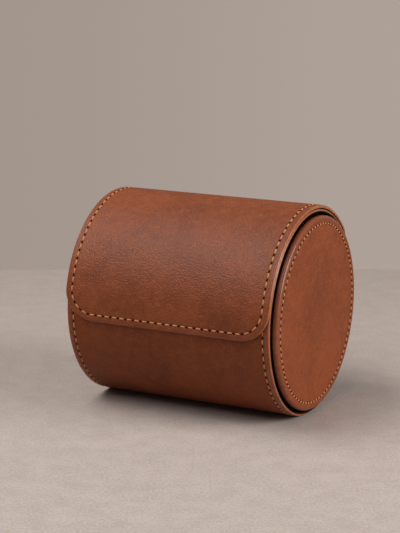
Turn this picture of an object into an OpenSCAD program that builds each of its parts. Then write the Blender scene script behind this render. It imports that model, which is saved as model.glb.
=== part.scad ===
// Cylindrical leather travel case for one watch.
// A sewn leather barrel with a window under a hinged flap, a drawer tray that
// slides out of its right mouth, and a soft pillow that carries the watch.
// +X runs along the barrel towards the tray's front disc, -Y is the flap's side
// and +Z is up. The origin is the middle of the flat that the barrel rests on.
// Angles go round the barrel from the front level, over the top, to the back.

/* [Barrel] */
// Length of the barrel, rim to rim
barrel_length = 84.8; // [70:0.1:110]
// Outer radius of the leather barrel
barrel_r = 39.5; // [36:0.1:46]
// Thickness of the barrel's outer leather
barrel_leather = 0.9; // [0.8:0.05:1.4]
// Thickness of the leather turned in at the rims
turn_in = 0.5; // [0.5:0.05:0.9]
// Wall of the board tube inside the leather
board_tube_wall = 1.5; // [1.2:0.1:2.4]
// Thickness of the suede lining in the tube
tube_lining = 0.6; // [0.4:0.1:0.8]
// Depth of the two mouths, from the rim to the end of the board tube
mouth_depth = 3.6; // [3.4:0.1:5]
// Depth of the flat that the barrel rests on
foot_depth = 0.6; // [0.4:0.05:0.7]

/* [Window] */
// Angle of the window's front edge
window_front = 16; // [14:0.5:26]
// Angle of the window's back edge
window_back = 121.5; // [112:0.5:128]
// Width of the hoop left at each end of the window
hoop_width = 6.6; // [6:0.1:9]
// Corner radius of the window
window_corner = 6; // [4:0.5:9]
// Thickness of the leather binding round the window
binding = 0.6; // [0.4:0.1:0.9]

/* [Flap] */
// Thickness of the flap's outer leather
flap_leather = 0.6; // [0.6:0.05:1.0]
// Thickness of the flap's stiffener
flap_board = 0.3; // [0.3:0.05:0.6]
// Thickness of the flap's suede lining
flap_lining = 0.3; // [0.3:0.05:0.6]
// Gap between the closed flap and the barrel
flap_gap = 0.3; // [0.25:0.05:0.4]
// How far the flap stands past each rim
flap_overhang = 0.1; // [0.1:0.05:0.9]
// Angle of the flap's lip, just under the front level
flap_lip = -3.9; // [-8:0.1:-2]
// Angle of the flap's hinge at the back
flap_hinge = 143; // [138:0.5:150]
// Corner radius of the flap at the lip
flap_corner = 12; // [9:0.1:18]
// Width of the leather edge turned under, round the flap
flap_turned_edge = 2; // [1.5:0.1:2.6]

/* [Back tab] */
// Thickness of the tab that ties the flap to the barrel
tab_leather = 0.9; // [0.8:0.05:1.1]
// Angle of the tab's lower edge
tab_end = 172; // [164:0.5:186]
// How far the tab stops short of each rim
tab_margin = 0.9; // [0.9:0.1:1.4]
// Clearance between the flap's round back edge and the tab
hinge_clearance = 0.25; // [0.2:0.05:0.35]

/* [Closure] */
// Diameter of the two magnets in the barrel's front
magnet_d = 7; // [6:0.5:8]
// Thickness of the magnets
magnet_t = 1.1; // [0.8:0.05:1.15]
// Distance from each magnet to the middle of the case
magnet_x = 20; // [14:0.5:26]
// Board left between a magnet and the window
magnet_margin = 2; // [1.5:0.1:3]
// Length of the steel strike plates in the flap
plate_length = 12; // [9:0.5:14]
// Height of the strike plates, round the barrel
plate_height = 6; // [5:0.5:7]

/* [Discs] */
// Gap round the discs in the two mouths
disc_gap = 0.9; // [0.6:0.05:0.9]
// How far the tray's front disc stands out of its rim
front_proud = 2.1; // [1.5:0.1:4]
// How far the fixed end disc stands out of its rim
end_proud = 0.3; // [0.3:0.1:1.5]
// Thickness of the leather over the discs
disc_leather = 0.9; // [0.8:0.05:1.1]
// Width of the disc leather turned in behind the board
disc_turned = 6; // [4:0.5:9]
// Radius of the discs' outer edge
disc_edge = 1.1; // [0.8:0.1:1.3]
// Distance from a disc's edge to its stitches
disc_stitch_inset = 3.0; // [2.4:0.1:5]

/* [Tray] */
// Clearance between the tray and the barrel's lining
tray_clearance = 0.35; // [0.3:0.05:0.45]
// Clearance between the tray and its stops
stop_clearance = 0.3; // [0.2:0.05:0.4]
// Wall of the tray's trough
trough_wall = 1.2; // [1:0.1:1.6]
// Thickness of the tray's suede lining
tray_lining = 0.5; // [0.4:0.1:0.7]
// Thickness of the tray's two inner panels
tray_panel = 2.4; // [1.8:0.1:3]

/* [Pillow] */
// Width of the pillow, front to back
pillow_width = 54; // [46:0.5:58]
// Height of the pillow
pillow_height = 45; // [38:0.5:50]
// Thickness of the pillow's suede cover
pillow_cover_t = 1; // [0.8:0.1:1.5]
// Gap between the pillow and what it lies against
pillow_gap = 0.05; // [0.03:0.01:0.1]
// Length of the pillow's rounded shoulder at each end
pillow_shoulder = 8; // [5:0.5:12]
// How far the shoulder draws in at the ends, as a share of the section
pillow_draw = 0.2; // [0.1:0.01:0.3]

/* [Stitches] */
// Distance from one stitch to the next
stitch_pitch = 3.25; // [2.8:0.05:4]
// Length of one stitch that shows
stitch_length = 2.3; // [1.8:0.05:2.6]
// Diameter of the thread
thread_d = 0.6; // [0.5:0.05:0.7]
// Distance from the barrel's rims to their stitches
rim_stitch_inset = 2.7; // [2.4:0.1:3.2]
// Distance from the flap's edge to its stitches
flap_stitch_inset = 2.8; // [2.8:0.1:4]
// How far the thread stands out of the leather on the flap and the discs
thread_proud = 0.2; // [0.15:0.05:0.25]
// How far the thread stands out on the barrel, where the flap lies over it
covered_thread_proud = 0.1; // [0.05:0.01:0.14]
// Distance from one stitch to the next on the discs
disc_stitch_pitch = 2.5; // [2.3:0.05:3.4]
// Length of one stitch on the discs
disc_stitch_length = 1.75; // [1.4:0.05:2]
// Slant of the stitches on the discs
disc_stitch_slant = 12; // [0:1:20]

/* [Hidden] */

$fn = 96;
cognac = [0.55, 0.30, 0.18];
dark_cognac = [0.45, 0.23, 0.13];
tan_thread = [0.80, 0.55, 0.33];
suede = [0.66, 0.56, 0.45];
greyboard = [0.62, 0.58, 0.52];
steel = [0.72, 0.72, 0.74];
foam = [0.90, 0.88, 0.80];

// Rounds are larger by this, so that they cut the flats they run into cleanly
tangent_slack = 0.02;

// Barrel
half_length = barrel_length / 2;
axis_z = barrel_r - foot_depth;
board_r = barrel_r - barrel_leather;
mouth_r = board_r - turn_in;
lining_r = board_r - board_tube_wall;
bore_r = lining_r - tube_lining;
tube_half = half_length - mouth_depth;
rim_round = (barrel_r - mouth_r) / 2;
window_half = half_length - hoop_width;

// Flap, from the inside outwards
flap_inner = barrel_r + flap_gap;
flap_board_inner = flap_inner + flap_lining;
flap_board_outer = flap_board_inner + flap_board;
flap_outer = flap_board_outer + flap_leather;
flap_half = half_length + flap_overhang;
hinge_r = (flap_inner + flap_outer) / 2;
hinge_bead = (flap_outer - flap_inner) / 2 + tangent_slack;
inner_back = flap_hinge - arc_angle(flap_turned_edge, hinge_r);

// Tab
tab_start = flap_hinge + arc_angle(hinge_bead + hinge_clearance, hinge_r);
tab_outer = barrel_r + tab_leather;
tab_half = half_length - tab_margin;
rim_stitch_x = half_length - rim_stitch_inset;

// Closure
magnet_angle = window_front - arc_angle(magnet_d / 2 + magnet_margin, barrel_r);
magnet_skin = 0.15;
magnet_fit = 0.05;
plate_fit = 0.1;

// Discs and tray
disc_r = mouth_r - disc_gap;
seat_x = tube_half + stop_clearance;
front_face = half_length + front_proud;
end_face = half_length + end_proud;
disc_stitch_r = disc_r - disc_stitch_inset;
disc_turn_t = 0.6;
tray_r = bore_r - tray_clearance;
trough_inner = tray_r - trough_wall;
trough_lined = trough_inner - tray_lining;
back_panel_x = -tube_half + tray_lining + stop_clearance;
trough_back = back_panel_x + tray_panel;
trough_front = seat_x - tray_panel;
pillow_back = trough_back + tray_lining + pillow_gap;
pillow_front = trough_front - tray_lining - pillow_gap;

// Stitches
groove_w = thread_d + 0.4;
disc_groove_w = disc_stitch_length * sin(disc_stitch_slant) + thread_d + 0.15;

// How far cuts run past what they cut
past = 1;
bead_overlap = 25;
bead_inset = 0.05;

function arc_angle(length, radius) = length / radius * 180 / PI;

// Revolves a profile of [radius, x] points round the barrel's axis
module round_barrel(from = 0, to = 360) {
  translate([0, 0, axis_z])
    rotate([0, 90, 0])
      if (to - from >= 360) rotate_extrude() children();
      else rotate_extrude(start = 270 - to, angle = to - from) children();
}

// A profile from one radius to another and from one x to another
module band(r_in, r_out, x_from, x_to) {
  translate([r_in, x_from]) square([r_out - r_in, x_to - x_from]);
}

// Stands children on the barrel, with +Z outwards and +Y round towards the back
module on_barrel(x, angle, radius) {
  translate([0, 0, axis_z])
    rotate([90 - angle, 0, 0])
      translate([x, 0, radius])
        children();
}

// One stitch, lying along X with its top at a height over the leather
module stitch(proud, length = stitch_length) {
  translate([0, 0, proud - thread_d / 2])
    rotate([0, 90, 0])
      cylinder(d = thread_d, h = length, center = true, $fn = 24);
}

// Rounds the two corners at one end of a curved panel. The panel goes on over
// the top from a front end for way 1, and from a back end for way -1.
module corner_cuts(edge, way, half, corner) {
  low = barrel_r / 2;
  high = flap_outer + 3 * past;
  translate([0, 0, axis_z])
    rotate([90 - edge, 0, 0])
      mirror([0, way > 0 ? 0 : 1, 0])
        for (side = [-1, 1])
          difference() {
            translate([side > 0 ? half - corner : -half - past, -past, low])
              cube([corner + past, corner + past, high - low]);
            translate([side * (half - corner), corner, low - past])
              rotate([0, 0, 90 + side * 45])
                cylinder(r = corner + tangent_slack, h = high - low + 2 * past);
          }
}

// The window's opening between two radii, or inset from its outline
module window_space(r_in, r_out, inset = 0) {
  front = window_front + arc_angle(inset, barrel_r);
  back = window_back - arc_angle(inset, barrel_r);
  side = window_half - inset;
  difference() {
    round_barrel(front, back) band(r_in, r_out, -side, side);
    corner_cuts(front, 1, side, window_corner - inset);
    corner_cuts(back, -1, side, window_corner - inset);
  }
}

// A layer of the flap between two radii, inset from its outline, up to an angle
module flap_layer(r_in, r_out, inset, back) {
  lip = flap_lip + arc_angle(inset, flap_outer);
  side = flap_half - inset;
  difference() {
    round_barrel(lip, back) band(r_in, r_out, -side, side);
    corner_cuts(lip, 1, side, flap_corner - inset);
  }
}

// The shallow groove that a row of stitches lies in, round a rim
module rim_groove(x) {
  depth = thread_d - covered_thread_proud;
  round_barrel(tab_end + 1, 360 + flap_hinge - 1)
    band(barrel_r - depth, barrel_r + past, x - groove_w / 2, x + groove_w / 2);
}

// ---- Barrel ----

module barrel_leather_wrap() {
  color(cognac)
    difference() {
      round_barrel() barrel_leather_profile();
      window_space(bore_r, barrel_r + past);
      foot_cut();
      rim_groove(rim_stitch_x);
      rim_groove(-rim_stitch_x);
    }
}

// Outer leather that turns over each round rim and into the mouth
module barrel_leather_profile() {
  straight = half_length - rim_round;
  band(board_r, barrel_r, -straight, straight);
  for (side = [-1, 1]) {
    translate([barrel_r - rim_round, side * straight]) circle(rim_round);
    mid = side * (tube_half + straight) / 2;
    reach = straight - tube_half;
    band(mouth_r, barrel_r, mid - reach / 2, mid + reach / 2);
  }
}

// The ground that the case rests on
module foot_cut() {
  below = 2 * foot_depth;
  translate([-half_length - past, -barrel_r, -below])
    cube([barrel_length + 2 * past, 2 * barrel_r, below]);
}

module barrel_board_tube() {
  color(greyboard)
    difference() {
      round_barrel() band(lining_r, board_r, -tube_half, tube_half);
      window_space(bore_r, barrel_r);
      for (side = [-1, 1]) magnet_at(side, magnet_fit, past);
    }
}

module barrel_lining() {
  color(suede)
    difference() {
      round_barrel() band(bore_r, lining_r, -tube_half, tube_half);
      window_space(bore_r - past, board_r);
    }
}

module window_binding() {
  color(dark_cognac)
    difference() {
      window_space(bore_r, barrel_r);
      window_space(bore_r - past, barrel_r + past, binding);
    }
}

// A magnet, or its pocket when it is wider by a fit and open at the top
module magnet_at(side, fit, open) {
  // The flat disc's rim lies furthest out, so it sets how deep the disc sits
  top = sqrt(pow(board_r - magnet_skin, 2) - pow(magnet_d / 2, 2));
  on_barrel(side * magnet_x, magnet_angle, top - magnet_t)
    cylinder(d = magnet_d + 2 * fit, h = magnet_t + open);
}

module closure_magnets() {
  color(steel)
    for (side = [-1, 1]) magnet_at(side, 0, 0);
}

// Stitches run round a rim, and go under the leather where the case stands
module rim_thread(x) {
  first = tab_end + arc_angle(stitch_length, barrel_r);
  last = 360 + flap_hinge - arc_angle(stitch_length, barrel_r);
  count = floor((last - first) / arc_angle(stitch_pitch, barrel_r));
  foot_reach = acos(axis_z / (barrel_r + covered_thread_proud))
    + arc_angle(stitch_length * 0.6, barrel_r);
  color(tan_thread)
    for (i = [0:count]) {
      angle = first + (last - first) * i / count;
      if (abs(angle - 270) > foot_reach)
        on_barrel(x, angle, barrel_r)
          rotate([0, 0, 90]) stitch(covered_thread_proud);
    }
}

module left_rim_thread() { rim_thread(-rim_stitch_x); }

module right_rim_thread() { rim_thread(rim_stitch_x); }

// ---- Tab at the back, which ties the flap to the barrel ----

module hinge_tab() {
  depth = thread_d - thread_proud;
  row_end = tab_end - arc_angle(flap_stitch_inset, barrel_r);
  row_half = arc_angle(groove_w / 2, barrel_r);
  color(cognac)
    difference() {
      round_barrel(tab_start, tab_end) band(barrel_r, tab_outer, -tab_half, tab_half);
      for (side = [-1, 1])
        round_barrel(tab_start - 1, row_end + row_half)
          band(tab_outer - depth, tab_outer + past,
               side * rim_stitch_x - groove_w / 2, side * rim_stitch_x + groove_w / 2);
      round_barrel(row_end - row_half, row_end + row_half)
        band(tab_outer - depth, tab_outer + past, -rim_stitch_x, rim_stitch_x);
    }
}

module hinge_tab_thread() {
  row_end = tab_end - arc_angle(flap_stitch_inset, barrel_r);
  first = tab_start + arc_angle(stitch_length * 0.7, barrel_r);
  last = row_end - arc_angle(stitch_pitch * 0.8, barrel_r);
  side_count = floor((last - first) / arc_angle(stitch_pitch, barrel_r));
  row = rim_stitch_x - stitch_pitch * 0.5;
  row_count = floor(2 * row / stitch_pitch);
  color(tan_thread) {
    for (side = [-1, 1], i = [0:side_count])
      on_barrel(side * rim_stitch_x, first + (last - first) * i / side_count, tab_outer)
        rotate([0, 0, 90]) stitch(thread_proud);
    for (i = [0:row_count])
      on_barrel(-row + 2 * row * i / row_count, row_end, tab_outer)
        stitch(thread_proud);
  }
}

// ---- Discs ----

// Board inside a disc that reaches from its back to its face, on the +X side
module disc_board(back, face) {
  color(greyboard)
    round_barrel() {
      band(0, disc_r - disc_leather, back + disc_turn_t, face - disc_leather);
      band(0, disc_r - disc_turned, back, face - disc_leather);
    }
}

// Leather drawn over a disc's board, with a round edge, a groove for its
// stitches, and its border turned in behind the board
module disc_cover(back, face) {
  depth = thread_d - thread_proud;
  color(cognac)
    round_barrel()
      difference() {
        union() {
          band(0, disc_r - disc_edge, back, face);
          band(0, disc_r, back, face - disc_edge);
          translate([disc_r - disc_edge, face - disc_edge]) circle(disc_edge);
        }
        band(-past, disc_r - disc_leather, back + disc_turn_t, face - disc_leather);
        band(-past, disc_r - disc_turned, back - past, back + 2 * disc_turn_t);
        band(disc_stitch_r - disc_groove_w / 2, disc_stitch_r + disc_groove_w / 2,
             face - depth, face + past);
        translate([-disc_r, back - past]) square([disc_r, face - back + 2 * past]);
      }
}

module disc_thread(face) {
  count = floor(2 * PI * disc_stitch_r / disc_stitch_pitch);
  color(tan_thread)
    for (i = [0:count - 1])
      translate([0, 0, axis_z])
        rotate([360 / count * i, 0, 0])
          translate([face, 0, disc_stitch_r])
            rotate([0, 90, 0])
              rotate([0, 0, 90 + disc_stitch_slant])
                stitch(thread_proud, disc_stitch_length);
}

// Turns a disc made for the right mouth to face out of the left one
module facing_left() {
  mirror([1, 0, 0]) children();
}

module end_disc_board() { facing_left() disc_board(tube_half, end_face); }

module end_disc_leather() { facing_left() disc_cover(tube_half, end_face); }

module end_disc_thread() { facing_left() disc_thread(end_face); }

module end_disc_lining() {
  color(suede)
    round_barrel()
      band(0, bore_r - 0.1, -tube_half, -tube_half + tray_lining);
}

module front_disc_board() { disc_board(seat_x, front_face); }

module front_disc_leather() { disc_cover(seat_x, front_face); }

module front_disc_thread() { disc_thread(front_face); }

// ---- Flap ----

module flap_leather_cover() {
  depth = thread_d - thread_proud;
  color(cognac) {
    difference() {
      flap_layer(flap_inner, flap_outer, 0, flap_hinge);
      flap_layer(flap_inner - past, flap_board_outer, flap_turned_edge, inner_back);
      difference() {
        flap_layer(flap_outer - depth, flap_outer + past,
                   flap_stitch_inset - groove_w / 2, inner_back);
        flap_layer(flap_outer - depth - past, flap_outer + 2 * past,
                   flap_stitch_inset + groove_w / 2, inner_back + 1);
      }
    }
    // The back edge is a full round on the hinge's axis
    on_barrel(0, flap_hinge, hinge_r)
      rotate([0, 90, 0])
        rotate_extrude(start = -bead_overlap, angle = 180 + 2 * bead_overlap)
          band(0, hinge_bead, bead_inset - flap_half, flap_half - bead_inset);
  }
}

module flap_stiffener() {
  color(greyboard)
    difference() {
      flap_layer(flap_board_inner, flap_board_outer, flap_turned_edge, inner_back);
      for (side = [-1, 1]) strike_plate(side, plate_fit, past);
    }
}

module flap_suede_lining() {
  color(suede)
    flap_layer(flap_inner, flap_board_inner, flap_turned_edge, inner_back);
}

// A curved steel plate opposite a magnet, or its cut-out when it is grown by a fit
module strike_plate(side, fit, through) {
  half_angle = arc_angle(plate_height / 2 + fit, flap_board_inner);
  round_barrel(magnet_angle - half_angle, magnet_angle + half_angle)
    band(flap_board_inner - through, flap_board_outer + through,
         side * magnet_x - plate_length / 2 - fit,
         side * magnet_x + plate_length / 2 + fit);
}

module flap_strike_plates() {
  color(steel)
    for (side = [-1, 1]) strike_plate(side, 0, 0);
}

// The flap's stitches run up one side, round both corners and along the lip
module flap_thread() {
  turn_r = flap_corner - flap_stitch_inset;
  corner_x = flap_half - flap_corner;
  row_edge = flap_lip + arc_angle(flap_stitch_inset, flap_outer);
  side_first = row_edge + asin(turn_r / flap_outer);
  side_last = inner_back - arc_angle(stitch_length / 2, flap_outer);
  side_run = (side_last - side_first) / 180 * PI * flap_outer;
  side_count = floor(side_run / stitch_pitch);
  turn_count = round(turn_r * PI / 2 / stitch_pitch);
  lip_count = round(2 * corner_x / stitch_pitch);
  color(tan_thread) {
    for (side = [-1, 1]) {
      for (i = [0:side_count])
        on_barrel(side * (flap_half - flap_stitch_inset),
                  side_first + (side_last - side_first) * i / side_count, flap_outer)
          rotate([0, 0, 90]) stitch(thread_proud);
      for (i = [1:turn_count - 1]) {
        turn = 90 * i / turn_count;
        rise = turn_r - turn_r * sin(turn);
        on_barrel(side * (corner_x + turn_r * cos(turn)),
                  row_edge + asin(rise / flap_outer), flap_outer)
          rotate([0, 0, side * (90 - turn)]) stitch(thread_proud);
      }
    }
    for (i = [0:lip_count])
      on_barrel(-corner_x + 2 * corner_x * i / lip_count, row_edge, flap_outer)
        stitch(thread_proud);
  }
}

// ---- Tray ----

module tray_trough() {
  color(greyboard)
    round_barrel(180, 360) band(trough_inner, tray_r, trough_back, trough_front);
}

module tray_trough_lining() {
  color(suede)
    round_barrel(180, 360)
      band(trough_lined, trough_inner, trough_back + tray_lining, trough_front - tray_lining);
}

module tray_back_panel() {
  color(greyboard)
    round_barrel() band(0, tray_r, back_panel_x, trough_back);
}

module tray_back_lining() {
  color(suede)
    round_barrel() band(0, trough_inner - 0.05, trough_back, trough_back + tray_lining);
}

module tray_front_panel() {
  color(greyboard)
    round_barrel() band(0, tray_r, trough_front, seat_x);
}

module tray_front_lining() {
  color(suede)
    round_barrel() band(0, trough_inner - 0.05, trough_front - tray_lining, trough_front);
}

// ---- Pillow ----

// Points round the pillow and stations along each of its shoulders
pillow_points = 40;
shoulder_steps = 5;
pillow_squareness = 2.3;

function soft(value) = sign(value) * pow(abs(value), 2 / pillow_squareness);

// Stations along the pillow: [x, share of the full section]
function pillow_stations(skin) =
  let (
    middle = (pillow_back + pillow_front) / 2,
    half = (pillow_front - pillow_back) / 2 - skin,
    shoulder = [for (k = [0:shoulder_steps])
      let (turn = 90 * k / shoulder_steps)
        [half - pillow_shoulder * (1 - sin(turn)), 1 - pillow_draw * (1 - cos(turn))]]
  )
  concat(
    [for (k = [shoulder_steps:-1:0]) [middle - shoulder[k][0], shoulder[k][1]]],
    [for (k = [0:shoulder_steps]) [middle + shoulder[k][0], shoulder[k][1]]]
  );

// One point of the pillow's section, pressed to the round of the lined trough
function pillow_point(turn, share, skin) =
  let (
    seat = trough_lined - pillow_gap,
    centre = -seat + pillow_height / 2,
    y = soft(cos(turn)) * (pillow_width / 2 - skin) * share,
    z = soft(sin(turn)) * (pillow_height / 2 - skin) * share
        + centre - (1 - share) * pillow_height * 0.2,
    limit = seat - skin,
    far = norm([y, z]),
    press = far > limit ? limit / far : 1
  )
  [y * press, z * press];

// The pillow as one closed skin, or a smaller one inside it
module pillow_form(skin) {
  stations = pillow_stations(skin);
  rings = len(stations);
  points = concat(
    [for (s = stations, i = [0:pillow_points - 1])
      let (p = pillow_point(360 * i / pillow_points, s[1], skin))
        [s[0], p[0], axis_z + p[1]]],
    [[stations[0][0], 0, axis_z - pillow_height / 4],
     [stations[rings - 1][0], 0, axis_z - pillow_height / 4]]
  );
  first_hub = rings * pillow_points;
  faces = concat(
    [for (s = [0:rings - 2], i = [0:pillow_points - 1], half = [0, 1])
      let (
        next = (i + 1) % pillow_points,
        a = s * pillow_points + i,
        b = s * pillow_points + next,
        c = a + pillow_points,
        d = b + pillow_points
      )
      half == 0 ? [a, c, b] : [b, c, d]],
    [for (i = [0:pillow_points - 1])
      [first_hub, i, (i + 1) % pillow_points]],
    [for (i = [0:pillow_points - 1])
      let (last = (rings - 1) * pillow_points)
        [first_hub + 1, last + (i + 1) % pillow_points, last + i]]
  );
  polyhedron(points, faces);
}

module pillow_foam() {
  color(foam) pillow_form(pillow_cover_t);
}

module pillow_cover() {
  color(suede)
    difference() {
      pillow_form(0);
      pillow_form(pillow_cover_t);
    }
}

barrel_leather_wrap();
barrel_board_tube();
barrel_lining();
window_binding();
left_rim_thread();
right_rim_thread();
closure_magnets();
hinge_tab();
hinge_tab_thread();
end_disc_board();
end_disc_leather();
end_disc_thread();
end_disc_lining();
flap_leather_cover();
flap_stiffener();
flap_suede_lining();
flap_strike_plates();
flap_thread();
tray_trough();
tray_trough_lining();
tray_back_panel();
tray_back_lining();
front_disc_board();
front_disc_leather();
front_disc_thread();
tray_front_panel();
tray_front_lining();
pillow_foam();
pillow_cover();
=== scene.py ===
import math

import bmesh
import bpy
from mathutils import Matrix, Vector


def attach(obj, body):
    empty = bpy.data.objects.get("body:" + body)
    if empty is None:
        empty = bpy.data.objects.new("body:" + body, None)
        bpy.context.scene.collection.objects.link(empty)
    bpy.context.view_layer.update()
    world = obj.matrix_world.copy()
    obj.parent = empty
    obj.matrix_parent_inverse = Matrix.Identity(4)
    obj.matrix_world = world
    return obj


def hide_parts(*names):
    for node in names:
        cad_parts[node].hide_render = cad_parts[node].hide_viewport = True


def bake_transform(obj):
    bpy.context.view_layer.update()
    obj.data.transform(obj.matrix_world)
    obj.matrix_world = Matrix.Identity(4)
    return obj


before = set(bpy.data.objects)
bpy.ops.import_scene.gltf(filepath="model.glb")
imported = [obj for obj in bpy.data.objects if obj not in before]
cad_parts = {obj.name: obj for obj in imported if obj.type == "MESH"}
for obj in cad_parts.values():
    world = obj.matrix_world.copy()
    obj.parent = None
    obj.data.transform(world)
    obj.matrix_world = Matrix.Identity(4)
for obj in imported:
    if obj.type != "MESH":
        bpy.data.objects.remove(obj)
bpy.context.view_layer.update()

mm = 0.001

# ---- Camera ----
# A long lens looks down a little on the case from its right, so the flap, its lip and
# the tray's disc all show. It aims near the barrel's axis, axis_z above the table.
axis_z = 38.9 * mm
camera_azimuth = math.radians(27.08)
camera_elevation = math.radians(12.93)
camera_distance = 664.2 * mm
camera_lens = 114.98
film_width = 36
aim_right = -5.0 * mm
aim_up = 13.2 * mm

camera_back = Vector((
    math.sin(camera_azimuth) * math.cos(camera_elevation),
    -math.cos(camera_azimuth) * math.cos(camera_elevation),
    math.sin(camera_elevation),
))
camera_right = Vector((math.cos(camera_azimuth), math.sin(camera_azimuth), 0))
camera_up = camera_back.cross(camera_right)
aim = Vector((0, 0, axis_z)) + camera_right * aim_right + camera_up * aim_up

bpy.ops.object.select_all(action="DESELECT")
bpy.ops.object.camera_add()
camera = bpy.context.object
camera.name = "camera"
camera.data.lens = camera_lens
camera.data.sensor_width = film_width
camera.location = aim + camera_back * camera_distance
camera.rotation_mode = "QUATERNION"
camera.rotation_quaternion = (-camera_back).to_track_quat("-Z", "Y")
bpy.context.scene.camera = camera
bpy.context.scene.view_settings.view_transform = "Standard"


# ---- Floor and backdrop ----
# The case lies on a pale grey-beige table top with a faint mineral mottle. A darker
# backdrop rises behind it, a hand's breadth or two away.
class Wire:
    """A shader socket that takes plain arithmetic."""

    def __init__(self, finish, socket):
        self.finish = finish
        self.socket = socket

    def maths(self, operation, first, second):
        settings = {"operation": operation}
        return self.finish.node("ShaderNodeMath", settings, {0: first, 1: second})

    def __add__(self, other):
        return self.maths("ADD", self, other)

    def __radd__(self, other):
        return self.maths("ADD", other, self)

    def __sub__(self, other):
        return self.maths("SUBTRACT", self, other)

    def __rsub__(self, other):
        return self.maths("SUBTRACT", other, self)

    def __mul__(self, other):
        return self.maths("MULTIPLY", self, other)

    def __rmul__(self, other):
        return self.maths("MULTIPLY", other, self)


class Finish:
    """One material or the world, built from nodes."""

    def __init__(self, block):
        self.block = block
        block.use_nodes = True
        self.tree = block.node_tree
        self.skin = self.tree.nodes.get("Principled BSDF")

    def node(self, kind, settings=None, values=None, output=0):
        """Adds a node, makes its settings first and feeds its sockets."""
        made = self.tree.nodes.new(kind)
        for name, setting in (settings or {}).items():
            setattr(made, name, setting)
        for name, value in (values or {}).items():
            self.feed(made.inputs[name], value)
        return Wire(self, made.outputs[output])

    def feed(self, socket, value):
        if isinstance(value, Wire):
            self.tree.links.new(value.socket, socket)
        else:
            socket.default_value = value

    def set(self, **values):
        """Feeds the sockets of the Principled shader."""
        for name, value in values.items():
            self.feed(self.skin.inputs[name.replace("_", " ")], value)

    def place(self):
        return self.node("ShaderNodeTexCoord", output="Object")

    def noise(self, where, feature, detail=3.0, roughness=0.5, warp=0.0):
        """Soft noise whose patches are about one feature wide."""
        values = {"Vector": where, "Scale": 1 / feature, "Detail": detail,
                  "Roughness": roughness, "Distortion": warp}
        return self.node("ShaderNodeTexNoise", values=values)

    def steps(self, value, low, high):
        """Eases a value from 0 at low to 1 at high."""
        values = {"Value": value, "From Min": low, "From Max": high}
        return self.node("ShaderNodeMapRange", {"interpolation_type": "SMOOTHSTEP"}, values)

    def blend(self, share, first, second):
        """Mixes two colours. A Mix node's colour sockets are its inputs 6 and 7."""
        first, second = (c if isinstance(c, Wire) else (*c, 1) for c in (first, second))
        sockets = {0: share, 6: first, 7: second}
        return self.node("ShaderNodeMix", {"data_type": "RGBA"}, sockets, output=2)

    def bump(self, height, depth, strength):
        values = {"Height": height, "Distance": depth, "Strength": strength}
        return self.node("ShaderNodeBump", values=values)


# The table ends at this row of the photograph, whose lens is given in its pixels
backdrop_row = 267
picture_middle = 266.5
picture_focus = 1702.3
floor_dark = (0.412, 0.343, 0.304)
floor_pale = (0.514, 0.430, 0.386)
backdrop_left = (0.365, 0.304, 0.268)
backdrop_right = (0.420, 0.354, 0.314)

below_axis = math.atan((backdrop_row - picture_middle) / picture_focus)
reach = camera.location.z / math.tan(camera_elevation + below_axis)
floor_back = reach - camera_distance * math.cos(camera_elevation)
floor_front = 1.4
floor_side = 1.2

bpy.ops.object.select_all(action="DESELECT")
bpy.ops.mesh.primitive_plane_add(size=1, enter_editmode=True)
bpy.ops.transform.resize(value=(2 * floor_side, floor_front + floor_back, 1))
bpy.ops.transform.translate(value=(0, (floor_back - floor_front) / 2, 0))
bpy.ops.object.editmode_toggle()
floor = bpy.context.object
floor.name = "floor"
floor.rotation_euler.z = camera_azimuth

mottle_size = 9 * mm
fleck_size = 1.0 * mm
# Towards the backdrop the table is painted darker, in the backdrop's tone, as shade
# where it meets the backdrop, and it fades out at the very end
edge_fade = 5 * mm
shade_before = 420 * mm
shade_past = 120 * mm

stone = Finish(bpy.data.materials.new("stone_table"))
where = stone.place()
mottle = stone.noise(where, mottle_size, detail=5, roughness=0.6)
fleck = stone.noise(where, fleck_size, detail=4, roughness=0.8)
tone = stone.steps(mottle * 0.25 + fleck * 0.75, 0.42, 0.58)
depth = stone.node("ShaderNodeSeparateXYZ", values={"Vector": where}, output=1)
pale = stone.blend(tone, floor_dark, floor_pale)
# The table darkens to the backdrop's tone towards its back edge: painted shade
backdrop_shade = stone.blend(tone, backdrop_left, backdrop_right)
shade_share = stone.steps(depth, floor_back - shade_before, floor_back + shade_past)
stone.set(
    Base_Color=stone.blend(shade_share, pale, backdrop_shade),
    Alpha=1 - stone.steps(depth, floor_back - edge_fade, floor_back),
    Roughness=0.72,
    Normal=stone.bump(fleck * 0.6 + mottle * 0.4, 0.2 * mm, 0.5),
)
floor.data.materials.append(stone.block)

# The world lights the case faintly, and shows as the backdrop behind it
room_light = (0.95, 0.97, 1.0, 1)
room_strength = 0.08
backdrop_spread = 0.12

sky = Finish(bpy.data.worlds.new("studio"))
bpy.context.scene.world = sky.block
lit = sky.tree.nodes["Background"]
lit.inputs["Color"].default_value = room_light
lit.inputs["Strength"].default_value = room_strength
view_right = sky.node("ShaderNodeVectorMath", {"operation": "DOT_PRODUCT"},
                      {0: sky.place(), 1: camera_right}, output=1)
across = sky.steps(view_right, -backdrop_spread, backdrop_spread)
backdrop = sky.blend(across, backdrop_left, backdrop_right)
seen = sky.node("ShaderNodeBackground", values={"Color": backdrop, "Strength": 1.0})
shows = sky.node("ShaderNodeLightPath", output="Is Camera Ray")
for ray in ("Is Glossy Ray", "Is Transmission Ray"):
    shows = shows.maths("MAXIMUM", shows, sky.node("ShaderNodeLightPath", output=ray))
either = {0: shows, 1: Wire(sky, lit.outputs[0]), 2: seen}
sky.feed(sky.tree.nodes["World Output"].inputs["Surface"],
         sky.node("ShaderNodeMixShader", values=either))


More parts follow.
